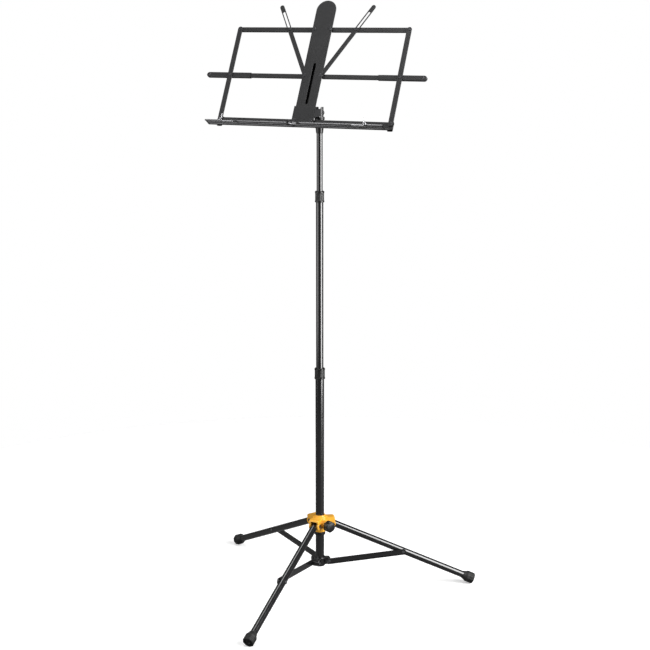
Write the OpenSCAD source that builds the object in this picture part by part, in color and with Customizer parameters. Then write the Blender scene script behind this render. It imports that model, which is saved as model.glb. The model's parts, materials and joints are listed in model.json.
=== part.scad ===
// Folding music stand: a tripod base, a three-section column and a folding desk.
// The origin is on the column's axis at floor level; the desk faces -Y.

/* [Column] */
// Outer diameter of the lower tube
lower_tube_d = 19; // [17:0.5:24]
// Step in diameter from each tube to the one that slides inside it
tube_step = 3; // [2.6:0.1:3.6]
// Wall of every column tube
tube_wall = 1.2; // [0.8:0.1:1.25]
// Height of the lower tube's bottom end above the floor
column_base_z = 58; // [55:1:60]
// Length of the lower tube
lower_tube_len = 448; // [420:1:560]
// Length of the middle tube
middle_tube_len = 440; // [400:1:520]
// Length of the upper tube
upper_tube_len = 425; // [380:1:500]
// Part of the middle tube that shows above the lower clutch
middle_shown = 387; // [200:1:400]
// Part of the upper tube that shows above the upper clutch
upper_shown = 140; // [100:1:300]

/* [Clutches] */
// Height of a clutch collar
collar_h = 24; // [18:0.5:30]
// Wall of a clutch collar outside its sleeve
collar_wall = 1.1; // [0.8:0.1:1.6]
// Wall of the sleeve on the tube's end
sleeve_wall = 0.9; // [0.7:0.1:1.2]

/* [Tripod] */
// Distance of a leg's hinge from the column's axis
hinge_r = 25; // [24:0.5:28]
// Height of the leg hinges when the stand is open
hinge_z = 156.5; // [150:0.5:165]
// Slope of an open leg below the horizontal, in degrees
leg_slope = 24.25; // [22:0.25:26]
// Distance from a leg's hinge to the end of its foot
leg_reach = 355; // [300:1:355]
// Outer diameter of a leg tube
leg_d = 15; // [12.5:0.5:16]
// Wall of a leg tube
leg_wall = 1.2; // [0.8:0.1:2]
// Distance from a leg's hinge to its stay
stay_joint = 178; // [170:1:182]
// Distance of a stay's root pivot from the column's axis
root_r = 19; // [18.5:0.25:20]
// Height of a stay's root pivot above the lower tube's bottom end
root_rise = 9; // [8:0.5:11]
// Height of a stay's channel
stay_h = 13; // [10.5:0.5:13.5]
// Depth of a stay's channel
stay_depth = 3.4; // [2.8:0.1:4]
// Sheet thickness of a stay
stay_t = 1.4; // [1:0.1:1.6]
// Radius of a rubber foot
foot_r = 12.5; // [12.4:0.1:13.5]
// Length of a rubber foot
foot_len = 26; // [24:1:34]

/* [Hub] */
// Radius of the hub's body
hub_r = 16; // [14.5:0.5:17]
// Thickness of a hub ear
ear_t = 3.5; // [2.5:0.5:4.5]
// Radius of a hub ear around its hinge
ear_r = 9.5; // [8.5:0.5:11]
// Height from the hinges to the top of the hub's lobes
lobe_top = 14; // [13:0.5:16]
// Height from the hinges to the top of the hub's barrel
hub_top = 18.5; // [17:0.5:22]
// Height from the hinges down to the hub's bottom
hub_drop = 20; // [18:0.5:22]
// Radius of the lock knob
knob_r = 12.5; // [10:0.5:13.5]
// Length of the lock knob's grip
knob_len = 13; // [12:0.5:20]

/* [Desk] */
// Distance of the desk's pivot line in front of the column's axis
desk_reach = 81.5; // [75:0.5:95]
// Height of the tilt bolt above the ledge's pivot line
tilt_rise = 12; // [6:0.5:16]
// Lean of the desk from upright, in degrees
lean = 27.6; // [20:0.2:35]
// Width of the centre plate
plate_w = 45; // [42:0.5:46]
// Height of the centre plate above the ledge's pivots
plate_h = 273; // [250:1:300]
// Thickness of the centre plate
plate_t = 1.6; // [1.2:0.1:2]
// Distance of each arm's pivot from the middle of the plate
pivot_u = 18; // [17:0.5:18]
// Height of the cross arms' pivots above the ledge's pivots
cross_v = 102; // [95:1:110]
// Height of the top bars' pivots above the ledge's pivots
top_v = 208; // [200:1:220]
// Distance between the pivots at the two ends of an arm
arm_span = 176; // [145:1:200]
// Width of the top bars
bar_w = 10; // [9:0.5:11]
// Width of the side bars
side_w = 11; // [8:0.5:11.5]
// Thickness of the side bars and the page arms
strip_t = 1.8; // [1.2:0.1:2]
// Sheet thickness of the top bars, cross arms and ledge
channel_t = 1.2; // [0.8:0.1:1.5]
// Width of the cross arms
cross_h = 9; // [8:0.5:10]
// Depth of the top bars' and cross arms' channels
channel_depth = 5; // [4:0.5:7]
// Length of a cross arm's sliding end
extension_len = 105; // [90:1:120]
// Distance of a sliding end's tip from the side bar
extension_out = 57; // [50:1:65]
// Angle that the desk's arms fold through
desk_fold = 80; // [70:1:80]

/* [Ledge] */
// Half length of the ledge
ledge_half = 200; // [170:1:225]
// Depth of the ledge's floor
floor_depth = 35; // [25:1:40]
// Height of the ledge's back above its pivot
back_up = 4; // [3:0.5:5]
// Distance of the ledge's floor below its pivot
back_down = 10; // [9.5:0.5:12]
// Forward reach of the sloping front lip
lip_out = 16; // [10:0.5:20]
// Rise of the sloping front lip
lip_up = 10; // [8:0.5:14]
// Distance of a page holder's pivot from the middle
holder_u = 162; // [130:1:170]
// Length of a page holder's arm
holder_arm = 30; // [26:1:60]

/* [Page arms] */
// Length of a page arm from its pivot to its tip
page_len = 184; // [176:1:200]
// Width of a page arm
page_w = 9.5; // [8.8:0.1:9.6]
// Distance of the guide pin along the top bar from its pivot
guide_at = 57.6; // [57:0.1:58]
// Radius of the guide pin
guide_r = 0.9; // [0.8:0.05:0.95]
// Half width of the slot that the guide pin runs in
slot_half = 2.6; // [2.6:0.05:3]
// Angle added to a page arm, so that the pin stays inside its slot
page_lead = 0.56; // [0.5:0.01:0.6]

/* [Fits] */
// Clearance between pieces that move past each other
gap = 0.3; // [0.25:0.05:0.4]
// Radial clearance of a pin that turns in its hole
run = 0.05; // [0.03:0.01:0.1]

/* [Hidden] */
$fn = 48;
eps = 0.01;

// The legs' directions around the column, in degrees
az_right = 30;
az_left = 150;
az_front = 270;
az_knob = 330;

// Column heights and tube radii
lower_r = lower_tube_d / 2;
middle_r = lower_r - tube_step / 2;
upper_r = middle_r - tube_step / 2;
lower_top_z = column_base_z + lower_tube_len;
collar_lip = 2;
clutch_cap = 4;
lower_collar_z = lower_top_z + clutch_cap - collar_h;
middle_top_z = lower_top_z + middle_shown;
upper_collar_z = middle_top_z + clutch_cap - collar_h;
upper_top_z = middle_top_z + upper_shown;
bush_len = 12;

// Tripod points in a leg's own plane: x is the distance from the axis, z the height
root_z = column_base_z + root_rise;
joint_r = hinge_r + stay_joint * cos(leg_slope);
joint_z = hinge_z - stay_joint * sin(leg_slope);
stay_len = norm([joint_r - root_r, joint_z - root_z]);
stay_rise = atan2(joint_z - root_z, joint_r - root_r);
leg_half = leg_d / 2;
hinge_gap = leg_half + gap + 0.1;
stay_side = hinge_gap + stay_t;
leg_pin_r = 2.5;
leg_roof = leg_half + 2.6;
rivet_r = 2.2;
rivet_head_t = 1.2;
leg_back = 6;
ring_h = 7;
bracket_h = stay_h + 4;
plug_cap = 1.5;

// Desk points in the desk's own plane: x is across, y is up the plate, z is forward
pivot_v = desk_reach * sin(lean) + tilt_rise * cos(lean);
pivot_w = -desk_reach * cos(lean) + tilt_rise * sin(lean);
tilt_z = upper_top_z + 29;
desk_z = tilt_z - tilt_rise;
corner_u = pivot_u + arm_span;
layer_a = -gap;
layer_b = layer_a - strip_t - gap;
cross_front = layer_b - channel_t;
desk_pin_r = 2.5;
side_pin_r = 2;
spine_half = 8;
spine_depth = 12;
spine_t = 1.5;
spine_foot = 3;
slot_from = 40;
slot_to = 126;
slot_w = 6.3;
shoe_h = 31;
shoe_drop = 5;
shoe_t = 2.2;
shoe_side = 2;
head_wall = 1.9;
head_r = upper_r + head_wall;
head_slot = 10;
flange_r = head_r + 2.35;
flange_h = 3;
socket_h = 17;
fork_h = 24;
tilt_down = 20;
tongue_r = 8;
wire_r = 1;
bead_r = 1.5;

module tube(r, wall, z0, z1) {
    translate([0, 0, z0])
    difference() {
        cylinder(r = r, h = z1 - z0);
        translate([0, 0, -eps]) cylinder(r = r - wall, h = z1 - z0 + 2 * eps);
    }
}

module ring(r_out, r_in, z0, z1) {
    tube(r_out, r_out - r_in, z0, z1);
}

// A pin across a leg's plane, centred on it
module cross_pin(r, half, x, z) {
    translate([x, half, z]) rotate([90, 0, 0]) cylinder(r = r, h = 2 * half);
}

// A leg's frame: x runs out from the column, y across the leg
module in_leg_plane(az) {
    rotate([0, 0, az]) children();
}

// A leg's own frame: x runs down the leg from its hinge
module along_leg(az) {
    in_leg_plane(az)
    translate([hinge_r, 0, hinge_z])
    rotate([0, leg_slope, 0])
    children();
}

// A stay's own frame: x runs out along the stay from its root pivot
module along_stay(az) {
    in_leg_plane(az)
    translate([root_r, 0, root_z])
    rotate([0, -stay_rise, 0])
    children();
}

// The desk's own frame
module on_desk() {
    translate([0, -desk_reach, desk_z])
    rotate([90 - lean, 0, 0])
    children();
}

module side(s) {
    if (s > 0) children();
    else mirror([1, 0, 0]) children();
}

// A strip with round ends from x = 0 to x = len, between two depths
module strip(len, w, z0, z1) {
    translate([0, 0, z0])
    linear_extrude(height = z1 - z0) {
        translate([0, -w / 2]) square([len, w]);
        circle(d = w);
        translate([len, 0]) circle(d = w);
    }
}

module hole(r, x, y, z0, z1) {
    translate([x, y, z0 - 1]) cylinder(r = r, h = z1 - z0 + 2);
}

// A rivet along z: its shank between two depths and a head past each end
module rivet(r, head_r, z0, z1, head_t) {
    translate([0, 0, z0]) cylinder(r = r, h = z1 - z0);
    translate([0, 0, z1]) cylinder(r = head_r, h = head_t);
    translate([0, 0, z0 - head_t]) cylinder(r = head_r, h = head_t);
}

// ---- base ----

// A tongue that a stay's root lies against, as an outline of [distance from the axis, height]
module bracket_tongue(az) {
    half = hinge_gap - gap;
    reach = root_r + 5;
    rise = bracket_h / 2 - 1;
    in_leg_plane(az)
    translate([0, half, root_z]) rotate([90, 0, 0])
    linear_extrude(height = 2 * half)
    polygon([
        [lower_r - 1.5, -rise], [reach - 4, -rise], [reach, 4 - rise],
        [reach, rise - 4], [reach - 4, rise], [lower_r - 1.5, rise]
    ]);
}

module bottom_bracket() {
    color([0.1, 0.1, 0.11])
    difference() {
        union() {
            translate([0, 0, root_z - bracket_h / 2]) cylinder(r = lower_r + 3, h = bracket_h);
            for (az = [az_right, az_left, az_front]) bracket_tongue(az);
        }
        translate([0, 0, root_z - bracket_h]) cylinder(r = lower_r, h = 2 * bracket_h);
        for (az = [az_right, az_left, az_front])
            in_leg_plane(az) cross_pin(rivet_r, 20, root_r, root_z);
    }
}

module bottom_plug() {
    color([0.07, 0.07, 0.07]) {
        translate([0, 0, column_base_z - 0.5 - plug_cap]) cylinder(r = lower_r + 1.5, h = plug_cap);
        translate([0, 0, column_base_z - 0.5]) cylinder(r = lower_r, h = 0.5);
        translate([0, 0, column_base_z]) cylinder(r = lower_r - tube_wall, h = 12);
    }
}

module lower_tube() {
    color([0.08, 0.08, 0.09]) tube(lower_r, tube_wall, column_base_z, lower_top_z);
}

module stop_ring() {
    color([0.06, 0.06, 0.06]) {
        z1 = hinge_z - hub_drop - gap;
        ring(lower_r + 2.6, lower_r, z1 - ring_h, z1);
    }
}

// Each rivet runs through its tongue and the stay's web, and its outer head sits in the channel
module bracket_rivets() {
    from = -stay_side - gap;
    to = hinge_gap - gap;
    color([0.2, 0.2, 0.21])
    for (az = [az_right, az_left, az_front])
        in_leg_plane(az)
        translate([root_r, 0, root_z]) rotate([-90, 0, 0])
            rivet(rivet_r, 3.6, from, to, rivet_head_t);
}

// ---- clutches: a sleeve fixed on the tube's end and a collar that turns on it ----

module clutch_sleeve(r, inner_r, top_z, bottom_z) {
    ring(r + sleeve_wall, r, bottom_z + 3, top_z);
    ring(r + sleeve_wall, inner_r + gap, top_z, top_z + 1.5);
}

module clutch_collar(r, inner_r, top_z, bottom_z) {
    bore = r + sleeve_wall + run;
    outer = bore + collar_wall;
    difference() {
        union() {
            translate([0, 0, bottom_z]) cylinder(r = outer - 0.5, h = collar_h);
            translate([0, 0, bottom_z + 0.8]) cylinder(r = outer, h = 3.2);
            translate([0, 0, bottom_z + collar_h - 4]) cylinder(r = outer, h = 3.2);
        }
        translate([0, 0, bottom_z - 1]) cylinder(r = bore, h = collar_h + 1 - collar_lip);
        translate([0, 0, bottom_z]) cylinder(r = inner_r + gap, h = collar_h + 1);
    }
}

module lower_clutch_sleeve() {
    color([0.06, 0.06, 0.06]) clutch_sleeve(lower_r, middle_r, lower_top_z, lower_collar_z);
}

module lower_clutch_collar() {
    color([0.06, 0.06, 0.06]) clutch_collar(lower_r, middle_r, lower_top_z, lower_collar_z);
}

module upper_clutch_sleeve() {
    color([0.06, 0.06, 0.06]) clutch_sleeve(middle_r, upper_r, middle_top_z, upper_collar_z);
}

module upper_clutch_collar() {
    color([0.06, 0.06, 0.06]) clutch_collar(middle_r, upper_r, middle_top_z, upper_collar_z);
}

// ---- sliding tubes, each with a bush in its lower end ----

module tube_bush(r, outer_bore, z) {
    translate([0, 0, z - bush_len]) cylinder(r = outer_bore - run, h = bush_len);
    translate([0, 0, z]) cylinder(r = r - tube_wall, h = bush_len);
}

module middle_tube() {
    color([0.08, 0.08, 0.09]) tube(middle_r, tube_wall, middle_top_z - middle_tube_len, middle_top_z);
}

module middle_tube_bush() {
    color([0.85, 0.85, 0.82]) tube_bush(middle_r, lower_r - tube_wall, middle_top_z - middle_tube_len);
}

module upper_tube() {
    color([0.08, 0.08, 0.09]) tube(upper_r, tube_wall, upper_top_z - upper_tube_len, upper_top_z);
}

module upper_tube_bush() {
    color([0.85, 0.85, 0.82]) tube_bush(upper_r, middle_r - tube_wall, upper_top_z - upper_tube_len);
}

// ---- hub, its leg pins and its lock ----

module hub_lobe(az) {
    lobe_half = hinge_gap + ear_t;
    in_leg_plane(az)
    translate([0, 0, hinge_z])
    difference() {
        union() {
            for (y = [-1, 1])
                translate([0, y * (hinge_gap + ear_t / 2), 0]) {
                    translate([hinge_r, 0, 0]) rotate([90, 0, 0])
                        cylinder(r = ear_r, h = ear_t, center = true);
                    translate([hinge_r / 2, 0, 0]) cube([hinge_r, ear_t, 2 * ear_r], center = true);
                }
            translate([0, -lobe_half, ear_r - 1]) cube([hinge_r + 3, 2 * lobe_half, lobe_top - ear_r + 1]);
            translate([hinge_r + 3, 0, ear_r - 1]) rotate([90, 0, 0])
                cylinder(r = lobe_top - ear_r + 1, h = 2 * lobe_half, center = true);
        }
        translate([hub_r - 2, -hinge_gap, -hub_drop - 1])
            cube([60, 2 * hinge_gap, hub_drop + 1 + leg_roof]);
        cross_pin(leg_pin_r, 30, hinge_r, 0);
    }
}

module hub() {
    screw_r = 3;
    color([0.94, 0.62, 0.13])
    difference() {
        union() {
            for (az = [az_right, az_left, az_front]) hub_lobe(az);
            difference() {
                translate([0, 0, hinge_z - ear_r]) cylinder(r = hub_r, h = ear_r + lobe_top + 1.5);
                for (az = [az_right, az_left, az_front])
                    in_leg_plane(az)
                    translate([hub_r - 2, -hinge_gap, hinge_z - hub_drop - 1])
                        cube([60, 2 * hinge_gap, hub_drop + 1 + leg_roof]);
            }
            translate([0, 0, hinge_z - hub_drop]) cylinder(r = lower_r + 2.8, h = hub_drop + hub_top);
            in_leg_plane(az_knob) translate([0, 0, hinge_z]) rotate([0, 90, 0]) cylinder(r = 9, h = 26);
        }
        translate([0, 0, hinge_z - hub_drop - 1])
            cylinder(r = lower_r + run, h = hub_drop + hub_top + 2);
        in_leg_plane(az_knob) translate([0, 0, hinge_z]) rotate([0, 90, 0])
            cylinder(r = screw_r + run, h = 30);
    }
}

module leg_pins() {
    color([0.2, 0.2, 0.21])
    for (az = [az_right, az_left, az_front])
        in_leg_plane(az) {
            outer = hinge_gap + ear_t;
            cross_pin(leg_pin_r, outer, hinge_r, hinge_z);
            for (y = [-1, 1])
                translate([hinge_r, y * (outer + 0.5), hinge_z]) rotate([90, 0, 0])
                    cylinder(r = 3.8, h = 1, center = true);
        }
}

module lock_knob() {
    lobes = 6;
    color([0.06, 0.06, 0.06])
    in_leg_plane(az_knob) translate([26 + gap, 0, hinge_z]) rotate([0, 90, 0])
    difference() {
        union() {
            cylinder(r = 7.5, h = 4);
            translate([0, 0, 4]) cylinder(r = knob_r, h = knob_len - 2);
            translate([0, 0, knob_len + 2]) cylinder(r = knob_r - 2, h = 2);
        }
        translate([0, 0, -1]) cylinder(r = 3, h = knob_len - 1);
        for (i = [0 : lobes - 1])
            rotate([0, 0, i * 360 / lobes + 30]) translate([knob_r + 3.2, 0, -1])
                cylinder(r = 5, h = knob_len + 8);
    }
}

module lock_screw() {
    color([0.6, 0.6, 0.62])
    in_leg_plane(az_knob) translate([lower_r + gap, 0, hinge_z]) rotate([0, 90, 0])
        cylinder(r = 3, h = 26 - lower_r + knob_len - 2);
}

// ---- legs and feet ----

module leg_tube(az) {
    tube_end = leg_reach - 14;
    color([0.08, 0.08, 0.09])
    along_leg(az)
    difference() {
        translate([-leg_back, 0, 0]) rotate([0, 90, 0]) cylinder(r = leg_half, h = tube_end + leg_back);
        translate([-leg_back - 1, 0, 0]) rotate([0, 90, 0])
            cylinder(r = leg_half - leg_wall, h = tube_end + leg_back + 2);
        cross_pin(leg_pin_r + run, 20, 0, 0);
    }
}

module foot(az) {
    throat = foot_len - 13;
    color([0.05, 0.05, 0.05])
    difference() {
        along_leg(az)
        translate([leg_reach - foot_len, 0, 0]) rotate([0, 90, 0])
        rotate_extrude()
        polygon([
            [leg_half, 0], [leg_half + 1.2, 0], [leg_half + 1.6, 3], [foot_r - 1, 9], [foot_r, 11],
            [foot_r, foot_len], [foot_r - 3, foot_len], [foot_r - 3, foot_len - 3], [6, foot_len - 3],
            [6, foot_len - 1], [0, foot_len - 1], [0, throat - 1], [leg_half, throat - 1]
        ]);
        translate([-500, -500, -50]) cube([1000, 1000, 50]);
    }
}

module leg_tube_right() { leg_tube(az_right); }
module leg_tube_left() { leg_tube(az_left); }
module leg_tube_front() { leg_tube(az_front); }
module foot_right() { foot(az_right); }
module foot_left() { foot(az_left); }
module foot_front() { foot(az_front); }

// ---- stays: a shallow channel beside the leg, open on the side away from it ----

module stay(az) {
    color([0.09, 0.09, 0.1])
    along_stay(az)
    rotate([90, 0, 0])
    difference() {
        strip(stay_len, stay_h, hinge_gap, hinge_gap + stay_depth);
        strip(stay_len, stay_h - 2 * stay_t, stay_side, hinge_gap + stay_depth + 1);
        hole(rivet_r + run, 0, 0, hinge_gap, stay_side);
        hole(rivet_r, stay_len, 0, hinge_gap, stay_side);
    }
}

// The rivet at the leg stops flush with the web, just short of the leg tube
module stay_rivets(az) {
    color([0.2, 0.2, 0.21])
    along_stay(az)
    translate([stay_len, 0, 0]) rotate([90, 0, 0]) {
        translate([0, 0, hinge_gap]) cylinder(r = rivet_r, h = stay_t);
        translate([0, 0, stay_side]) cylinder(r = 3.8, h = rivet_head_t);
    }
}

module stay_right() { stay(az_right); }
module stay_left() { stay(az_left); }
module stay_front() { stay(az_front); }
module stay_rivets_right() { stay_rivets(az_right); }
module stay_rivets_left() { stay_rivets(az_left); }
module stay_rivets_front() { stay_rivets(az_front); }

// ---- desk head: a socket that swivels on the upper tube, a fork and a bolt ----

module head_socket() {
    color([0.06, 0.06, 0.06])
    translate([0, 0, upper_top_z])
    rotate_extrude()
    polygon([
        [upper_r + run, -14], [upper_r + 0.9, -14], [head_r + 0.1, -3], [head_r + 0.1, socket_h - flange_h],
        [flange_r, socket_h - flange_h], [flange_r, socket_h], [0, socket_h], [0, run], [upper_r + run, run]
    ]);
}

// The fork's slot falls away at the front, so that the tongue can swing down between the cheeks
module tilt_fork() {
    slot_floor = socket_h + 2.2 - (tilt_z - upper_top_z);
    color([0.1, 0.1, 0.11])
    translate([0, 0, tilt_z])
    difference() {
        union() {
            translate([0, 0, socket_h + upper_top_z - tilt_z]) cylinder(r = flange_r, h = flange_h);
            intersection() {
                translate([0, 0, socket_h + upper_top_z - tilt_z]) cylinder(r = head_r, h = fork_h);
                rotate([0, 90, 0]) cylinder(r = 12.6, h = 30, center = true);
            }
        }
        translate([-head_slot / 2, 0, 0]) rotate([90, 0, 90])
        linear_extrude(height = head_slot)
        polygon([
            [20, slot_floor], [20, 30], [-20, 30], [-20, slot_floor - 22 * tan(tilt_down)], [2, slot_floor]
        ]);
        translate([-20, 0, 0]) rotate([0, 90, 0]) cylinder(r = desk_pin_r, h = 40);
    }
}

module tilt_bolt() {
    color([0.5, 0.5, 0.52])
    translate([0, 0, tilt_z]) rotate([0, 90, 0]) {
        cylinder(r = desk_pin_r, h = 2 * head_r, center = true);
        translate([0, 0, head_r]) cylinder(r = 4, h = 1.2);
        translate([0, 0, -head_r - 1.8]) cylinder(r = 4.2, h = 1.8, $fn = 6);
    }
}

// ---- desk centre ----

// A point of the level tilt arm as [up the desk, out from the desk]
function arm_point(d, rise) = [
    pivot_v - d * sin(lean) + rise * cos(lean),
    pivot_w + d * cos(lean) + rise * sin(lean)
];
function arm_end_at(rise) = arm_point((-spine_depth - 1 - pivot_w - rise * sin(lean)) / cos(lean), rise);

module tilt_bracket() {
    tongue = head_slot - 2 * gap;
    color([0.1, 0.1, 0.11])
    on_desk()
    difference() {
        union() {
            translate([-tongue / 2, pivot_v, pivot_w]) rotate([0, 90, 0]) cylinder(r = tongue_r, h = tongue);
            translate([-tongue / 2, 0, 0]) rotate([90, 0, 90])
            linear_extrude(height = tongue)
            polygon([arm_point(0, -tongue_r), arm_end_at(-tongue_r), arm_end_at(tongue_r), arm_point(0, tongue_r)]);
            translate([-spine_half, 2, -spine_depth - spine_foot]) cube([2 * spine_half, 46, spine_foot]);
        }
        translate([-20, pivot_v, pivot_w]) rotate([0, 90, 0]) cylinder(r = desk_pin_r + run, h = 40);
    }
}

module rear_spine() {
    color([0.09, 0.09, 0.1])
    on_desk()
    difference() {
        translate([-spine_half, -4, -spine_depth]) cube([2 * spine_half, top_v + 14, spine_depth]);
        translate([-spine_half + spine_t, -5, -spine_depth + spine_t])
            cube([2 * (spine_half - spine_t), top_v + 16, spine_depth]);
    }
}

module centre_plate() {
    half = plate_w / 2;
    color([0.11, 0.11, 0.12])
    on_desk()
    difference() {
        linear_extrude(height = plate_t)
        difference() {
            union() {
                translate([-half, -shoe_drop + 0.5]) square([plate_w, plate_h - half + shoe_drop - 0.5]);
                translate([0, plate_h - half]) circle(r = half);
            }
            translate([-slot_w / 2, slot_from]) square([slot_w, slot_to - slot_from]);
            translate([0, slot_from]) circle(d = slot_w);
            translate([0, slot_to]) circle(d = slot_w);
        }
        for (s = [-1, 1]) {
            hole(desk_pin_r, s * pivot_u, 0, 0, plate_t);
            hole(desk_pin_r, s * pivot_u, cross_v, 0, plate_t);
            hole(desk_pin_r, s * pivot_u, top_v, 0, plate_t);
        }
    }
}

module plate_shoe() {
    half = plate_w / 2 + shoe_side;
    color([0.1, 0.1, 0.11])
    on_desk()
    difference() {
        translate([-half, -shoe_drop, 0]) cube([2 * half, shoe_h + shoe_drop, plate_t + shoe_t]);
        translate([-plate_w / 2, -shoe_drop + 0.5, -1]) cube([plate_w, shoe_h + shoe_drop + 1, plate_t + 1]);
        for (s = [-1, 1]) hole(desk_pin_r, s * pivot_u, 0, 0, plate_t + shoe_t);
    }
}

module plate_rivets() {
    color([0.2, 0.2, 0.21])
    on_desk()
    for (s = [-1, 1]) {
        back = layer_b - channel_t - run;
        translate([s * pivot_u, 0, 0]) rivet(desk_pin_r, 3.6, back, plate_t + shoe_t, 1);
        translate([s * pivot_u, top_v, 0]) rivet(desk_pin_r, 3.6, back, plate_t, 1);
        translate([s * pivot_u, cross_v, 0]) {
            rivet(desk_pin_r, 3.6, cross_front - channel_t - run, plate_t, 1);
            translate([0, 0, cross_front + run]) cylinder(r = 3.6, h = layer_b + gap - 2 * run - cross_front);
        }
    }
}

// ---- desk arms: top bars, side bars, cross arms and their sliding ends ----

// A channel open at the back, with its front face at z = front
module channel(len, w, front) {
    strip(len, w, front - channel_t, front);
    for (y = [-w / 2, w / 2 - channel_t])
        translate([2, y, front - channel_depth]) cube([len - 4, channel_t, channel_depth]);
}

module top_bar(s) {
    color([0.1, 0.1, 0.11])
    on_desk() side(s) translate([pivot_u, top_v, 0])
    difference() {
        channel(arm_span, bar_w, layer_b);
        hole(desk_pin_r + run, 0, 0, layer_b - channel_t, layer_b);
        hole(side_pin_r + run, arm_span, 0, layer_b - channel_t, layer_b);
        hole(guide_r, guide_at, 0, layer_b - channel_t, layer_b);
    }
}

module guide_pin(s) {
    color([0.3, 0.3, 0.3])
    on_desk() side(s) translate([pivot_u + guide_at, top_v, 0]) {
        translate([0, 0, layer_b - channel_t]) cylinder(r = guide_r, h = channel_t - layer_b);
        translate([0, 0, -0.1]) cylinder(r = slot_half + 1, h = 0.9);
    }
}

module side_bar(s) {
    color([0.1, 0.1, 0.11])
    on_desk() side(s) translate([corner_u, 0, 0])
    difference() {
        rotate([0, 0, 90]) strip(top_v, side_w, layer_a - strip_t, layer_a);
        for (v = [0, cross_v, top_v]) hole(side_pin_r, 0, v, layer_a - strip_t, layer_a);
    }
}

module side_rivets(s) {
    color([0.2, 0.2, 0.21])
    on_desk() side(s) translate([corner_u, 0, 0]) {
        back = layer_b - channel_t - run;
        rivet(side_pin_r, 3.2, back, layer_a, 0.9);
        translate([0, top_v, 0]) rivet(side_pin_r, 3.2, back, layer_a, 0.9);
        translate([0, cross_v, layer_a - strip_t]) cylinder(r = side_pin_r, h = strip_t);
        translate([0, cross_v, layer_a]) cylinder(r = 3.2, h = 0.9);
    }
}

module cross_arm(s) {
    color([0.1, 0.1, 0.11])
    on_desk() side(s) translate([pivot_u, cross_v, 0])
    difference() {
        channel(arm_span + 4, cross_h, cross_front);
        hole(desk_pin_r + run, 0, 0, cross_front - channel_t, cross_front);
    }
}

// A sliding end wraps the cross arm and runs behind the side bar
module arm_end(s) {
    wall = 0.7;
    half = cross_h / 2 + gap;
    front = cross_front + gap + wall;
    back = cross_front - channel_depth - gap - wall;
    tip = arm_span + extension_out;
    color([0.08, 0.08, 0.09])
    on_desk() side(s) translate([pivot_u, cross_v, 0])
    difference() {
        strip(tip - half - wall, 2 * (half + wall), back, front);
        translate([-50, -50, back - 1]) cube([50 + tip - extension_len, 100, 30]);
        translate([0, -half, back + wall]) cube([tip - wall - 6, 2 * half, front - back - 2 * wall]);
    }
}

// ---- ledge halves with their page holders ----

// The sheet's middle line, from the top of the back to the edge of the lip: [forward, up]
function level(d, rise) = [d * cos(lean) + rise * sin(lean), -d * sin(lean) + rise * cos(lean)];
back_w = layer_b - channel_t / 2;
fold_1 = [back_w, -back_down];
fold_2 = fold_1 + level(floor_depth, 0);
lip_edge = fold_2 + level(lip_out, lip_up);

// The floor and the lip as one bent sheet, and the points where its two faces turn at the fold
sheet_half = channel_t / 2;
floor_normal = level(0, 1);
lip_normal = level(-lip_up, lip_out) / norm([lip_out, lip_up]);
fold_normal = (floor_normal + lip_normal) / (1 + floor_normal * lip_normal);

module ledge(s) {
    inner = 0.8;
    color([0.1, 0.1, 0.11])
    on_desk() side(s)
    difference() {
        union() {
            translate([pivot_u, 0, layer_b - channel_t]) {
                cylinder(r = 5.5, h = channel_t);
                translate([0, -back_down - sheet_half, 0])
                    cube([ledge_half - pivot_u, back_up + back_down + sheet_half, channel_t]);
            }
            translate([corner_u, 0, layer_b - channel_t]) cylinder(r = 7, h = channel_t);
            translate([inner, 0, 0]) rotate([90, 0, 90])
            linear_extrude(height = ledge_half - inner)
            polygon([for (p = [
                fold_1 + sheet_half * floor_normal, fold_2 + sheet_half * fold_normal,
                lip_edge + sheet_half * lip_normal, lip_edge - sheet_half * lip_normal,
                fold_2 - sheet_half * fold_normal, fold_1 - sheet_half * floor_normal
            ]) [p[1], p[0]]]);
            translate([inner, lip_edge[1], lip_edge[0]]) rotate([0, 90, 0])
                cylinder(r = bead_r, h = ledge_half - inner);
        }
        hole(desk_pin_r + run, pivot_u, 0, layer_b - channel_t, layer_b);
        hole(side_pin_r + run, corner_u, 0, layer_b - channel_t, layer_b);
    }
}

// The page holder's frame: on the lip's outer face, x across and z out from the desk
module at_holder(s) {
    on_desk() side(s)
    translate([holder_u, fold_2[1] + 2, lip_edge[0] + bead_r + gap])
    children();
}

module page_holder(s) {
    coil = 4.2;
    rod = wire_r - 0.05;
    color([0.75, 0.75, 0.77])
    at_holder(s) {
        ring(coil, coil - 2 * wire_r, 0, 2 * wire_r);
        translate([-1, wire_r - coil, wire_r]) rotate([0, -90, 0]) cylinder(r = rod, h = holder_arm - 1);
        translate([coil - wire_r, 1, wire_r]) rotate([-90, 0, 0]) cylinder(r = rod, h = 12);
    }
}

module holder_tip(s) {
    color([0.05, 0.05, 0.05])
    at_holder(s) {
        translate([-holder_arm, -3.2, wire_r]) rotate([0, -90, 0]) cylinder(r = 1.8, h = 7);
        translate([0, 0, 0]) cylinder(r = 2.1, h = 2 * wire_r);
        translate([0, 0, 2 * wire_r]) cylinder(r = 3.6, h = 0.8);
    }
}

// ---- page arms ----

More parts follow.
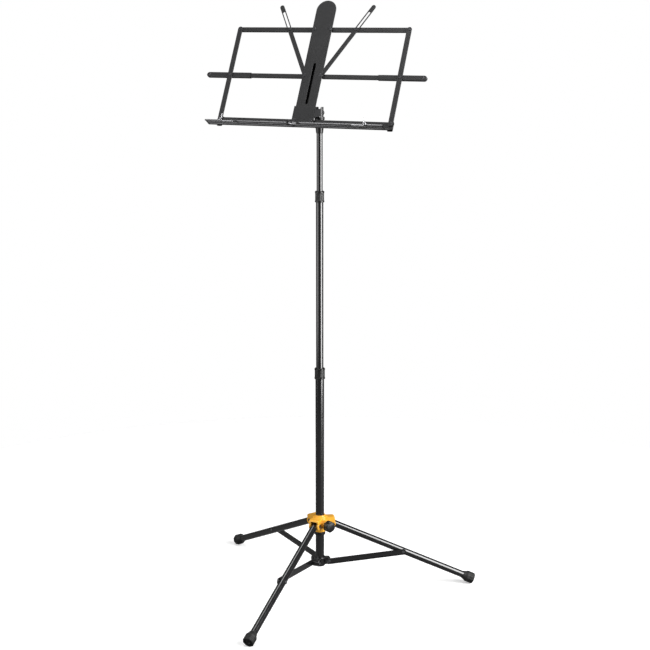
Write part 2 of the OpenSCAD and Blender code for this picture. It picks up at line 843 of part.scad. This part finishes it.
module page_arm(s) {
    swing = atan2(guide_at, top_v - cross_v) + page_lead;
    pin_rest = norm([guide_at, top_v - cross_v]);
    pin_out = norm([guide_at * cos(desk_fold), top_v - cross_v + guide_at * sin(desk_fold)]);
    color([0.09, 0.09, 0.1])
    on_desk() side(s) translate([pivot_u, cross_v, 0]) rotate([0, 0, 90 - swing])
    difference() {
        strip(page_len - page_w / 2, page_w, layer_a - strip_t, layer_a);
        hole(desk_pin_r + run, 0, 0, layer_a - strip_t, layer_a);
        translate([pin_rest - guide_r, 0, 0])
            strip(pin_out - pin_rest + 2 * guide_r, 2 * slot_half, layer_a - strip_t - 1, layer_a + 1);
    }
}

module top_bar_right() { top_bar(1); }
module top_bar_left() { top_bar(-1); }
module guide_pin_right() { guide_pin(1); }
module guide_pin_left() { guide_pin(-1); }
module side_bar_right() { side_bar(1); }
module side_bar_left() { side_bar(-1); }
module side_rivets_right() { side_rivets(1); }
module side_rivets_left() { side_rivets(-1); }
module cross_arm_right() { cross_arm(1); }
module cross_arm_left() { cross_arm(-1); }
module arm_end_right() { arm_end(1); }
module arm_end_left() { arm_end(-1); }
module ledge_right() { ledge(1); }
module ledge_left() { ledge(-1); }
module page_holder_right() { page_holder(1); }
module page_holder_left() { page_holder(-1); }
module holder_tip_right() { holder_tip(1); }
module holder_tip_left() { holder_tip(-1); }
module page_arm_right() { page_arm(1); }
module page_arm_left() { page_arm(-1); }

bottom_bracket();
bottom_plug();
lower_tube();
stop_ring();
bracket_rivets();
lower_clutch_sleeve();
lower_clutch_collar();
middle_tube();
middle_tube_bush();
upper_clutch_sleeve();
upper_clutch_collar();
upper_tube();
upper_tube_bush();
hub();
leg_pins();
lock_knob();
lock_screw();
leg_tube_right();
leg_tube_left();
leg_tube_front();
foot_right();
foot_left();
foot_front();
stay_right();
stay_left();
stay_front();
stay_rivets_right();
stay_rivets_left();
stay_rivets_front();
head_socket();
tilt_fork();
tilt_bolt();
tilt_bracket();
rear_spine();
centre_plate();
plate_shoe();
plate_rivets();
top_bar_right();
top_bar_left();
guide_pin_right();
guide_pin_left();
side_bar_right();
side_bar_left();
side_rivets_right();
side_rivets_left();
cross_arm_right();
cross_arm_left();
arm_end_right();
arm_end_left();
ledge_right();
ledge_left();
page_holder_right();
page_holder_left();
holder_tip_right();
holder_tip_left();
page_arm_right();
page_arm_left();
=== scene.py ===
import json
import math

import bmesh
import bpy
from mathutils import Matrix, Vector


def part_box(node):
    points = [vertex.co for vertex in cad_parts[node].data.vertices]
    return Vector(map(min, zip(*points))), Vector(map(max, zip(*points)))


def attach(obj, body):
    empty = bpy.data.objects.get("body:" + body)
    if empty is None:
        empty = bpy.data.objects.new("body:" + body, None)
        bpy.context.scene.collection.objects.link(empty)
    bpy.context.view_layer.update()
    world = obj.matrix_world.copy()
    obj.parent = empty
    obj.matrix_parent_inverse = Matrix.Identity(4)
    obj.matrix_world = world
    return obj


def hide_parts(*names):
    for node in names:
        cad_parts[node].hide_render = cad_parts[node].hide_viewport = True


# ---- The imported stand, and where its joints and pieces are ----
# Every place below comes from the frame: joints give the hinges, boxes give the pieces' ends.
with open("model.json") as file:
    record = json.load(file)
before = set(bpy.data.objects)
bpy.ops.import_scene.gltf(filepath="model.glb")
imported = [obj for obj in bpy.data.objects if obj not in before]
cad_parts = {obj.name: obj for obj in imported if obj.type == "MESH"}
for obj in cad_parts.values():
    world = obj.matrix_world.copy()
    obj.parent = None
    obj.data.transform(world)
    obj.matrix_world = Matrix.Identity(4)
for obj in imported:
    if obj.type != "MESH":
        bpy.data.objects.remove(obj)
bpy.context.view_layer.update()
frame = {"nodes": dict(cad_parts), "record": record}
behaviour = frame["record"]["behaviour"]
joints = {joint["name"]: joint for joint in behaviour["joints"]}
body_with = {node: body for body, nodes in behaviour["bodies"].items() for node in nodes}
slot_of = {row["node"]: row["material_slot"] for row in frame["record"]["subparts"]}
MM = 0.001


def hinge_point(joint):
    return Vector(joints[joint]["pos_m"])


# ---- Camera, floor and studio light ----
# A pale sweep and large soft panels: one at each side for the long streaks on the tubes, one above.
CAMERA_AZIMUTH = math.radians(24.88)
CAMERA_DISTANCE = 3.090
CAMERA_HEIGHT = 1.2558
CAMERA_PITCH = math.radians(-11.88)
CAMERA_YAW = 0.0037

camera = bpy.data.objects.new("camera", bpy.data.cameras.new("camera"))
bpy.context.collection.objects.link(camera)
camera.data.lens = 80.7
camera.data.sensor_width = 36
camera.data.clip_end = 60
camera.location = (
    math.sin(CAMERA_AZIMUTH) * CAMERA_DISTANCE,
    -math.cos(CAMERA_AZIMUTH) * CAMERA_DISTANCE,
    CAMERA_HEIGHT,
)
heading = CAMERA_AZIMUTH - CAMERA_YAW
looking = Vector((-math.sin(heading), math.cos(heading), math.tan(CAMERA_PITCH)))
camera.rotation_euler = looking.to_track_quat("-Z", "Y").to_euler()
bpy.context.scene.camera = camera


def soft_panel(name, place, aim, size, power):
    light = bpy.data.lights.new(name, "AREA")
    light.shape = "RECTANGLE"
    light.size, light.size_y = size
    light.energy = power
    lamp = bpy.data.objects.new(name, light)
    bpy.context.collection.objects.link(lamp)
    lamp.location = place
    lamp.rotation_euler = (Vector(aim) - Vector(place)).to_track_quat("-Z", "Y").to_euler()


soft_panel("panel_right", (2.79, -0.3, 1.3), (0, 0, 0.7), (2.0, 3.4), 215)
soft_panel("panel_left", (-1.9, -2.1, 1.3), (0, 0, 0.7), (3.0, 3.0), 56)
soft_panel("panel_above", (-0.4, -0.3, 3.4), (0, -0.1, 0.8), (3.0, 0.9), 42)

# The sweep is white to the eye and dim to everything else, so that the black coat keeps its depth.
world = bpy.data.worlds.new("studio")
world.use_nodes = True
world_nodes = world.node_tree.nodes
world_links = world.node_tree.links
world_nodes["Background"].inputs["Color"].default_value = (1, 1, 1, 1)
seen = world_nodes.new("ShaderNodeLightPath")
strength = world_nodes.new("ShaderNodeMapRange")
strength.inputs["To Min"].default_value = 0.1
strength.inputs["To Max"].default_value = 1.0
world_links.new(seen.outputs["Is Camera Ray"], strength.inputs["Value"])
world_links.new(strength.outputs["Result"], world_nodes["Background"].inputs["Strength"])
bpy.context.scene.world = world
bpy.context.scene.view_settings.view_transform = "Standard"


# ---- Finishes ----
# A finish is a base colour that drifts a little over the piece, a roughness that varies with the
# grain, and a fine relief. The grain is in ridges per metre, and the relief in metres.
def finish(name, colour, roughness, grain, relief, drift=0.12, rough_drift=0.06, metallic=0.0, coat=0.0):
    material = bpy.data.materials.new(name)
    material.use_nodes = True
    nodes = material.node_tree.nodes
    links = material.node_tree.links
    shader = nodes["Principled BSDF"]
    shader.inputs["Metallic"].default_value = metallic
    shader.inputs["Coat Weight"].default_value = coat
    shader.inputs["Coat Roughness"].default_value = 0.12
    coords = nodes.new("ShaderNodeTexCoord")
    fine = nodes.new("ShaderNodeTexNoise")
    fine.inputs["Scale"].default_value = grain
    fine.inputs["Detail"].default_value = 3
    broad = nodes.new("ShaderNodeTexNoise")
    broad.inputs["Scale"].default_value = 22
    broad.inputs["Detail"].default_value = 4
    tint = nodes.new("ShaderNodeValToRGB")
    tint.color_ramp.elements[0].position = 0.3
    tint.color_ramp.elements[1].position = 0.7
    tint.color_ramp.elements[0].color = [part * (1 - drift) for part in colour] + [1]
    tint.color_ramp.elements[1].color = [min(1, part * (1 + drift)) for part in colour] + [1]
    polish = nodes.new("ShaderNodeMapRange")
    polish.inputs["To Min"].default_value = roughness - rough_drift
    polish.inputs["To Max"].default_value = roughness + rough_drift
    bump = nodes.new("ShaderNodeBump")
    bump.inputs["Strength"].default_value = 0.6
    bump.inputs["Distance"].default_value = relief
    links.new(coords.outputs["Object"], fine.inputs["Vector"])
    links.new(coords.outputs["Object"], broad.inputs["Vector"])
    links.new(broad.outputs["Fac"], tint.inputs["Fac"])
    links.new(tint.outputs["Color"], shader.inputs["Base Color"])
    links.new(fine.outputs["Fac"], polish.inputs["Value"])
    links.new(polish.outputs["Result"], shader.inputs["Roughness"])
    links.new(fine.outputs["Fac"], bump.inputs["Height"])
    links.new(bump.outputs["Normal"], shader.inputs["Normal"])
    return material


finishes = {
    "tube_black": finish("tube_powder_coat", (0.005, 0.005, 0.0055), 0.2, 900, 0.002 * MM,
                         rough_drift=0.03, coat=1.0),
    "desk_black": finish("desk_powder_coat", (0.021, 0.021, 0.022), 0.38, 1500, 0.04 * MM, rough_drift=0.1),
    "amber_plastic": finish("amber_plastic", (0.8, 0.39, 0.036), 0.3, 500, 0.015 * MM, drift=0.05),
    "black_plastic": finish("black_plastic", (0.006, 0.006, 0.006), 0.28, 2200, 0.01 * MM),
    "rubber": finish("foot_rubber", (0.007, 0.007, 0.007), 0.6, 1300, 0.1 * MM, rough_drift=0.12),
    "bright_wire": finish("drawn_wire", (0.62, 0.62, 0.64), 0.24, 700, 0.02 * MM, metallic=1.0),
    "rivet_steel": finish("black_rivet", (0.075, 0.075, 0.08), 0.3, 800, 0.01 * MM, metallic=0.6),
    "bolt_steel": finish("dark_plating", (0.2, 0.2, 0.205), 0.3, 300, 0.01 * MM, metallic=1.0),
    "guide_plastic": finish("pale_nylon", (0.62, 0.61, 0.57), 0.5, 900, 0.04 * MM),
}

# The floor is a white disc to the eye too, and a dark one in every reflection.
FLOOR_RADIUS = 1.45
floor = bpy.data.meshes.new("floor")
bm = bmesh.new()
bmesh.ops.create_circle(bm, cap_ends=True, segments=96, radius=FLOOR_RADIUS)
bm.to_mesh(floor)
bm.free()
floor = bpy.data.objects.new("floor", floor)
bpy.context.collection.objects.link(floor)
floor_paint = finish("floor_paint", (0.86, 0.86, 0.86), 0.75, 60, 0.05 * MM, drift=0.01)
floor_nodes = floor_paint.node_tree.nodes
floor_links = floor_paint.node_tree.links
floor_white = floor_nodes["Principled BSDF"]
floor_white.inputs["Emission Color"].default_value = (1, 1, 1, 1)
floor_white.inputs["Emission Strength"].default_value = 0.35
floor_dark = floor_nodes.new("ShaderNodeBsdfDiffuse")
floor_dark.inputs["Color"].default_value = (0.16, 0.16, 0.16, 1)
floor_seen = floor_nodes.new("ShaderNodeLightPath")
floor_mix = floor_nodes.new("ShaderNodeMixShader")
floor_links.new(floor_seen.outputs["Is Camera Ray"], floor_mix.inputs[0])
floor_links.new(floor_dark.outputs["BSDF"], floor_mix.inputs[1])
floor_links.new(floor_white.outputs["BSDF"], floor_mix.inputs[2])
floor_links.new(floor_mix.outputs["Shader"], floor_nodes["Material Output"].inputs["Surface"])
floor.data.materials.append(floor_paint)


# ---- Column tubes ----
# Three drawn steel tubes with a gloss black powder coat, one inside the other, with nylon bushes.
def paint(node):
    for slot in frame["nodes"][node].material_slots:
        slot.material = finishes[slot_of[node]]


for node in ("lower_tube", "middle_tube", "upper_tube", "middle_tube_bush", "upper_tube_bush",
             "lower_clutch_sleeve", "upper_clutch_sleeve", "bottom_plug", "lock_screw"):
    paint(node)


# A new piece takes its mesh from a bmesh, its body and finish from the node that it goes with.
def add_piece(name, bm, node, replaced=(), finish_name=None, smooth=35):
    bmesh.ops.remove_doubles(bm, verts=bm.verts, dist=0.002 * MM)
    bmesh.ops.recalc_face_normals(bm, faces=bm.faces)
    mesh = bpy.data.meshes.new(name)
    bm.to_mesh(mesh)
    bm.free()
    piece = bpy.data.objects.new(name, mesh)
    bpy.context.collection.objects.link(piece)
    slot = finish_name or slot_of[node]
    mesh.materials.append(finishes[slot])
    mesh.shade_smooth()
    mesh.set_sharp_from_angle(angle=math.radians(smooth))
    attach(piece, body_with[node])
    if replaced:
        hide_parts(*replaced)
    return piece


# Turns an outline of (radius, height) about Z, and stands it in its place.
def turned(outline, place=Matrix.Identity(4), steps=64):
    bm = bmesh.new()
    points = [bm.verts.new((radius, 0, height)) for radius, height in outline]
    edges = [bm.edges.new(pair) for pair in zip(points, points[1:])]
    bmesh.ops.spin(bm, geom=points + edges, cent=(0, 0, 0), axis=(0, 0, 1), angle=2 * math.pi,
                   steps=steps, use_merge=True)
    bmesh.ops.remove_doubles(bm, verts=bm.verts, dist=0.002 * MM)
    return bm if place == Matrix.Identity(4) else stood(bm, place)


def stood(bm, place):
    bmesh.ops.transform(bm, matrix=place, verts=bm.verts)
    return bm


# A pressed or moulded piece as it leaves the tool: its edges are rounded off. Flat faces are merged
# first, which shades them evenly, but a moulding keeps its own faces, which are too ragged to merge.
def rounded(node, radius, segments=3, merge_flats=True):
    bm = bmesh.new()
    bm.from_mesh(frame["nodes"][node].data)
    bmesh.ops.remove_doubles(bm, verts=bm.verts, dist=0.002 * MM)
    if merge_flats:
        bmesh.ops.dissolve_limit(bm, angle_limit=math.radians(1), verts=bm.verts, edges=bm.edges)
    piece = add_piece(node + "_pressed", bm, node, replaced=(node,))
    bevel = piece.modifiers.new("rounded_edges", "BEVEL")
    bevel.width = radius
    bevel.segments = segments
    bevel.limit_method = "ANGLE"
    bevel.angle_limit = math.radians(32)
    bevel.use_clamp_overlap = False
    bevel.harden_normals = True
    return piece


# ---- Clutch collars ----
# Moulded black plastic grips with a rim at each end and fine ribs between, which turn on the tubes.
COLLAR_RIM = 4.2 * MM
COLLAR_RIBS = 28


def ribbed(bm, ribs, depth, low, high, least_radius):
    for vert in bm.verts:
        radius = vert.co.xy.length
        if low < vert.co.z < high and radius > least_radius:
            turn = math.atan2(vert.co.y, vert.co.x)
            vert.co.xy *= 1 - depth * (0.5 + 0.5 * math.cos(ribs * turn)) / radius


def clutch_collar(node, sleeve):
    low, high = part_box(node)
    outer = (high[0] - low[0]) / 2
    bore = (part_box(sleeve)[1][0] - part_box(sleeve)[0][0]) / 2 + 0.05 * MM
    middle = (low[2] + COLLAR_RIM, high[2] - COLLAR_RIM)
    rim = outer - 0.5 * MM
    inner = bore - 2.1 * MM
    grip = [(rim, middle[0] + step * (middle[1] - middle[0]) / 6) for step in range(7)]
    outline = [(bore, low[2]), (outer - 0.5 * MM, low[2]), (outer, low[2] + 0.6 * MM),
               (outer, middle[0] - 0.6 * MM), (rim, middle[0] - 0.1 * MM)] + grip + [
               (rim, middle[1] + 0.1 * MM), (outer, middle[1] + 0.6 * MM), (outer, high[2] - 1.2 * MM),
               (outer - 0.9 * MM, high[2]), (inner, high[2]), (inner, high[2] - 2 * MM),
               (bore, high[2] - 2 * MM), (bore, low[2])]
    bm = turned(outline, steps=4 * COLLAR_RIBS)
    ribbed(bm, COLLAR_RIBS, 0.35 * MM, middle[0] - 0.05 * MM, middle[1] + 0.05 * MM, bore + 0.2 * MM)
    add_piece(node + "_grip", bm, node, replaced=(node,))


clutch_collar("lower_clutch_collar", "lower_clutch_sleeve")
clutch_collar("upper_clutch_collar", "upper_clutch_sleeve")

# ---- Bottom bracket, stop ring and stays ----
# A die-cast bracket is pressed on the lower tube's end; the stays are folded from black strip steel.
rounded("bottom_bracket", 0.8 * MM)
rounded("stop_ring", 0.8 * MM)
for leg in ("right", "left", "front"):
    rounded("stay_" + leg, 0.35 * MM, segments=2)
    rounded("stay_rivets_" + leg, 0.5 * MM)
rounded("bracket_rivets", 0.5 * MM)

# ---- Hub ----
# One amber moulding that slides on the lower tube, with a pair of ears for each leg's pin.
rounded("hub", 0.6 * MM, merge_flats=False)
rounded("leg_pins", 0.45 * MM)

# ---- Lock knob ----
# A fluted black grip moulded on the head of the screw that holds the hub.
rounded("lock_knob", 0.5 * MM, merge_flats=False)

# ---- Legs and feet ----
# Powder-coated tubes with a plug in the upper end and a ribbed rubber cup pushed on the lower one.
LEG_SLOPE = math.radians(24.25)
FOOT_END = 355 * MM
FOOT_LENGTH = 26 * MM
FOOT_RADIUS = 12.5 * MM
FOOT_LOBES = 9
LOBE_DEPTH = 0.055
LEG_RADIUS = 7.5 * MM
STAY_JOINT = 178 * MM


def leg_place(leg):
    pivot = hinge_point("leg_fold_" + leg)
    across = Vector(joints["leg_fold_" + leg]["axis"])
    out = Vector((pivot.x, pivot.y, 0)).normalized()
    along = math.cos(LEG_SLOPE) * out - math.sin(LEG_SLOPE) * Vector((0, 0, 1))
    turn = Matrix((across.cross(along), across, along)).transposed().to_4x4()
    return Matrix.Translation(pivot) @ turn


def foot_cup(leg):
    start = FOOT_END - FOOT_LENGTH
    lip = FOOT_END - 0.9 * MM
    cup = [(LEG_RADIUS, start), (LEG_RADIUS + 0.9 * MM, start), (LEG_RADIUS + 1.3 * MM, start + 0.6 * MM),
           (LEG_RADIUS + 1.6 * MM, start + 3 * MM)]
    cup += [(LEG_RADIUS + 1.6 * MM + (FOOT_RADIUS - LEG_RADIUS - 1.6 * MM) * math.sin(k * math.pi / 8) ** 2,
             start + (3 + 2 * k) * MM) for k in range(1, 5)]
    for ring in range(3):
        base = start + (12 + 4.1 * ring) * MM
        cup += [(FOOT_RADIUS, base), (FOOT_RADIUS, base + 2.6 * MM),
                (FOOT_RADIUS - 0.7 * MM, base + 3.0 * MM), (FOOT_RADIUS - 0.7 * MM, base + 3.6 * MM)]
    cup += [(FOOT_RADIUS, start + 24.3 * MM), (FOOT_RADIUS, lip), (FOOT_RADIUS - 0.9 * MM, FOOT_END),
            (FOOT_RADIUS - 2.4 * MM, FOOT_END), (FOOT_RADIUS - 3 * MM, FOOT_END - 0.6 * MM),
            (FOOT_RADIUS - 3 * MM, FOOT_END - 3 * MM), (6 * MM, FOOT_END - 3 * MM),
            (6 * MM, FOOT_END - 1 * MM), (4.6 * MM, FOOT_END - 0.6 * MM),
            (3 * MM, FOOT_END - 2.5 * MM), (0, FOOT_END - 2.8 * MM)]
    inner = [(0, start + 12 * MM), (LEG_RADIUS, start + 12 * MM), (LEG_RADIUS, start)]
    bm = turned(cup, leg_place(leg), steps=72)
    lining = turned(inner, leg_place(leg), steps=72)
    mesh = bpy.data.meshes.new("lining")
    lining.to_mesh(mesh)
    lining.free()
    bm.from_mesh(mesh)
    bpy.data.meshes.remove(mesh)
    bmesh.ops.remove_doubles(bm, verts=bm.verts, dist=0.01 * MM)
    upright = leg_place(leg).inverted()
    for vert in bm.verts:
        spot = upright @ vert.co
        share = min(1, max(0, (spot.z - start - 9 * MM) / (4 * MM)))
        if spot.xy.length > FOOT_RADIUS - 2.5 * MM:
            turn = math.atan2(spot.y, spot.x)
            spot.xy *= 1 - share * LOBE_DEPTH * (0.5 - 0.5 * math.cos(FOOT_LOBES * turn))
            vert.co = leg_place(leg) @ spot
    cut = bmesh.ops.bisect_plane(bm, geom=bm.verts[:] + bm.edges[:] + bm.faces[:], plane_co=(0, 0, 0),
                                 plane_no=(0, 0, 1), clear_inner=True)
    rim = [part for part in cut["geom_cut"] if isinstance(part, bmesh.types.BMEdge)]
    bmesh.ops.edgenet_fill(bm, edges=rim)
    add_piece("rubber_foot_" + leg, bm, "foot_" + leg, replaced=("foot_" + leg,))


def leg_plug(leg):
    outline = [(0, -7.6 * MM), (5.4 * MM, -7.6 * MM), (6.6 * MM, -7.1 * MM), (6.9 * MM, -6.1 * MM),
               (6.2 * MM, -6.0 * MM), (6.2 * MM, -3.2 * MM), (0, -3.2 * MM)]
    add_piece("leg_plug_" + leg, turned(outline, leg_place(leg), steps=40), "leg_tube_" + leg,
              finish_name="black_plastic")


# The stay's rivet runs through the leg, and its other head sits on the leg's far side.
def leg_rivet(leg):
    outline = [(0, 1.7 * MM), (2.2 * MM, 1.45 * MM), (3.5 * MM, 0.7 * MM), (3.8 * MM, 0),
               (3.8 * MM, -1 * MM), (0, -1 * MM)]
    place = (leg_place(leg) @ Matrix.Translation((0, LEG_RADIUS, STAY_JOINT))
             @ Matrix.Rotation(-math.pi / 2, 4, "X"))
    add_piece("leg_rivet_" + leg, turned(outline, place, steps=32), "leg_tube_" + leg,
              finish_name="rivet_steel")


for leg in ("right", "left", "front"):
    paint("leg_tube_" + leg)
    foot_cup(leg)
    leg_plug(leg)
    leg_rivet(leg)

# ---- Head ----
# A black plastic socket swivels on the top tube; a steel fork and a bolt hold the desk's tilt arm.
rounded("head_socket", 0.7 * MM)
rounded("tilt_fork", 0.3 * MM)
rounded("tilt_bolt", 0.5 * MM)

# ---- Desk's centre: tilt arm, spine, plate and shoe ----
# Pressed sheet steel with a satin black coat, riveted through at the six pivots.
for node, radius in (("tilt_bracket", 1.0 * MM), ("rear_spine", 0.5 * MM), ("centre_plate", 0.45 * MM),
                     ("plate_shoe", 0.2 * MM), ("plate_rivets", 0.5 * MM)):
    rounded(node, radius)

# ---- Desk's arms ----
# Folded channels and flat strips that turn on rivets and fold up beside the plate.
for side in ("right", "left"):
    for node, radius in (("top_bar_", 0.4 * MM), ("side_bar_", 0.4 * MM), ("cross_arm_", 0.35 * MM),
                         ("arm_end_", 0.9 * MM), ("page_arm_", 0.35 * MM), ("side_rivets_", 0.4 * MM),
                         ("guide_pin_", 0.25 * MM)):
        rounded(node + side, radius)

# The desk's own frame: X across, Y up the plate, Z out of its face.
desk_normal = Vector(joints["desk_fold_right"]["axis"])
desk_across = Vector((1, 0, 0))
desk_up = desk_normal.cross(desk_across)
LAYER = 3 * MM
desk_centre = (hinge_point("ledge_fold_right") + hinge_point("ledge_fold_left")) / 2 + LAYER * desk_normal
desk_turn = Matrix((desk_across, desk_up, desk_normal)).transposed().to_4x4()
desk_place = Matrix.Translation(desk_centre) @ desk_turn


# A small domed rivet head, flat side down, on a face of the desk.
def domed_head(name, node, across, up, out, radius, height):
    outline = [(0, height), (radius * 0.45, height * 0.9), (radius * 0.8, height * 0.55), (radius, 0),
               (radius, -0.4 * MM), (0, -0.4 * MM)]
    place = desk_place @ Matrix.Translation((across, up, out))
    add_piece(name, turned(outline, place, steps=32), node, finish_name="rivet_steel")


for side, sign in (("right", 1), ("left", -1)):
    low, high = (desk_place.inverted() @ Vector(corner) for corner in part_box("arm_end_" + side))
    tip = sign * max(abs(low.x), abs(high.x))
    front = max((desk_place.inverted() @ frame["nodes"]["arm_end_" + side].matrix_world @ vert.co).z
                for vert in frame["nodes"]["arm_end_" + side].data.vertices)
    domed_head("arm_tip_rivet_" + side, "arm_end_" + side, tip - sign * 7 * MM, 102 * MM, front,
               2.6 * MM, 0.9 * MM)

# ---- Ledge ----
# Two bent sheets with a rolled front edge, two swaged lines along the lip, end brackets and a clip.
LEDGE_HALF = 200 * MM
LEDGE_FOLD = Vector((28.02, -26.21)) * MM
LEDGE_EDGE = Vector((46.83, -24.77)) * MM


def side_sign(side):
    return 1 if side == "right" else -1


# A bar along the ledge: its section turns about a line at (out from the desk, up the desk).
def ledge_bar(name, side, at, radius, start, end, sides=16):
    bm = bmesh.new()
    bmesh.ops.create_cone(bm, cap_ends=True, segments=sides, radius1=radius, radius2=radius,
                          depth=end - start)
    sign = side_sign(side)
    place = (desk_place @ Matrix.Translation((sign * (start + end) / 2, at[1], at[0]))
             @ Matrix.Rotation(math.pi / 2, 4, "Y"))
    return add_piece(name, stood(bm, place), "ledge_" + side, finish_name="bolt_steel")


# The end bracket is a tab behind the ledge's end that hangs below the floor.
def ledge_bracket(side):
    outline = [(187, 5.5), (187, -13), (189, -15.5), (198.5, -15.5), (200, -14), (200, 2),
               (197.5, 5.5)]
    bm = bmesh.new()
    corners = [bm.verts.new((across * MM, up * MM, -3.6 * MM)) for across, up in outline]
    wall = bmesh.ops.extrude_face_region(bm, geom=[bm.faces.new(corners)])
    moved = [part for part in wall["geom"] if isinstance(part, bmesh.types.BMVert)]
    bmesh.ops.translate(bm, verts=moved, vec=(0, 0, -1.6 * MM))
    place = desk_place @ Matrix.Scale(side_sign(side), 4, (1, 0, 0))
    piece = add_piece("ledge_bracket_" + side, stood(bm, place), "ledge_" + side,
                      finish_name="black_plastic")
    bevel = piece.modifiers.new("rounded_edges", "BEVEL")
    bevel.width = 0.4 * MM
    bevel.segments = 2
    bevel.limit_method = "ANGLE"


# A bright wire from the clip at the middle carries a black tip under the lip.
def ledge_clip():
    bm = bmesh.new()
    bmesh.ops.create_cube(bm, size=1)
    bmesh.ops.scale(bm, verts=bm.verts, vec=(7 * MM, 9 * MM, 5 * MM))
    bmesh.ops.bevel(bm, geom=bm.edges[:], offset=1.2 * MM, segments=3, profile=0.5, affect="EDGES")
    clip = desk_place @ Matrix.Translation((-7 * MM, LEDGE_EDGE.y - 0.5 * MM, LEDGE_EDGE.x + 2.2 * MM))
    add_piece("ledge_clip", stood(bm, clip), "ledge_left", finish_name="black_plastic")
    bm = bmesh.new()
    ring = bmesh.ops.create_circle(bm, cap_ends=True, segments=12, radius=0.8 * MM)
    bmesh.ops.rotate(bm, verts=ring["verts"], cent=(0, 0, 0), matrix=Matrix.Rotation(math.pi / 2, 3, "Y"))
    bmesh.ops.translate(bm, verts=ring["verts"], vec=(0, -3 * MM, 0))
    bmesh.ops.spin(bm, geom=bm.faces[:] + bm.edges[:] + bm.verts[:], cent=(0, 24 * MM, 0), axis=(0, 0, 1),
                   angle=math.radians(44), steps=20, use_merge=False)
    wire = (desk_place @ Matrix.Translation((-5 * MM, LEDGE_EDGE.y + 1 * MM, LEDGE_EDGE.x + 3.4 * MM))
            @ Matrix.Rotation(math.radians(-24), 4, "Z"))
    add_piece("ledge_clip_wire", stood(bm, wire), "ledge_left", finish_name="bright_wire", smooth=50)
    tip = turned([(0, -3 * MM), (1.4 * MM, -3 * MM), (1.7 * MM, -2.4 * MM), (1.7 * MM, 2.4 * MM),
                  (1.2 * MM, 3 * MM), (0, 3 * MM)], steps=24)
    place = (desk_place @ Matrix.Translation((14.2 * MM, LEDGE_EDGE.y - 1.5 * MM, LEDGE_EDGE.x + 3.4 * MM))
             @ Matrix.Rotation(math.radians(10), 4, "Z") @ Matrix.Rotation(math.pi / 2, 4, "Y"))
    add_piece("ledge_clip_tip", stood(tip, place), "ledge_left", finish_name="black_plastic")


ledge_clip()
for side in ("right", "left"):
    rounded("ledge_" + side, 0.3 * MM, segments=2)
    ledge_bracket(side)
    for line, share in (("upper", 0.66), ("lower", 0.3)):
        spot = LEDGE_FOLD.lerp(LEDGE_EDGE, share) + Vector((0.01, -0.4)) * MM
        ledge_bar("ledge_swage_" + line + "_" + side, side, spot, 1.25 * MM, 3 * MM, 196 * MM)
    ledge_bar("ledge_roll_" + side, side, LEDGE_EDGE, 1.7 * MM, 1.0 * MM, 198 * MM, sides=24)

# ---- Page holders ----
# Bright spring wire: a coil of three turns on a washer, one end up, the other along the lip.
WIRE = 0.7 * MM
COIL = 2.4 * MM
COIL_TURNS = 2.75
HOLDER_ARM = 31 * MM


def page_holder(side):
    node = frame["nodes"]["page_holder_" + side]
    pivot = desk_place.inverted() @ hinge_point("holder_turn_" + side)
    base = min((desk_place.inverted() @ node.matrix_world @ vert.co).z for vert in node.data.vertices)
    steps = 66
    rise = 2.05 * WIRE * COIL_TURNS
    bm = bmesh.new()
    bmesh.ops.create_circle(bm, cap_ends=False, segments=12, radius=WIRE)
    bmesh.ops.rotate(bm, verts=bm.verts, cent=(0, 0, 0), matrix=Matrix.Rotation(math.pi / 2, 3, "Y"))
    bmesh.ops.translate(bm, verts=bm.verts, vec=(0, -COIL, WIRE))
    first = bm.edges[:]
    arm = bmesh.ops.extrude_edge_only(bm, edges=first)
    arm_verts = [part for part in arm["geom"] if isinstance(part, bmesh.types.BMVert)]
    bmesh.ops.translate(bm, verts=arm_verts, vec=(-HOLDER_ARM, 0, 0))
    coil = bmesh.ops.spin(bm, geom=first, cent=(0, 0, 0), axis=(0, 0, 1), dvec=(0, 0, rise / steps),
                          angle=2 * math.pi * COIL_TURNS, steps=steps, use_merge=False)
    last = [part for part in coil["geom_last"] if isinstance(part, bmesh.types.BMEdge)]
    end = bmesh.ops.extrude_edge_only(bm, edges=last)
    end_verts = [part for part in end["geom"] if isinstance(part, bmesh.types.BMVert)]
    bmesh.ops.translate(bm, verts=end_verts, vec=(0, 12 * MM, 0))
    bmesh.ops.holes_fill(bm, edges=bm.edges, sides=12)
    place = (desk_place @ Matrix.Translation((pivot.x, pivot.y, base))
             @ Matrix.Scale(side_sign(side), 4, (1, 0, 0)))
    add_piece("page_holder_wire_" + side, stood(bm, place), "page_holder_" + side,
              replaced=("page_holder_" + side,), smooth=50)


for side in ("right", "left"):
    page_holder(side)
    rounded("holder_tip_" + side, 0.5 * MM)
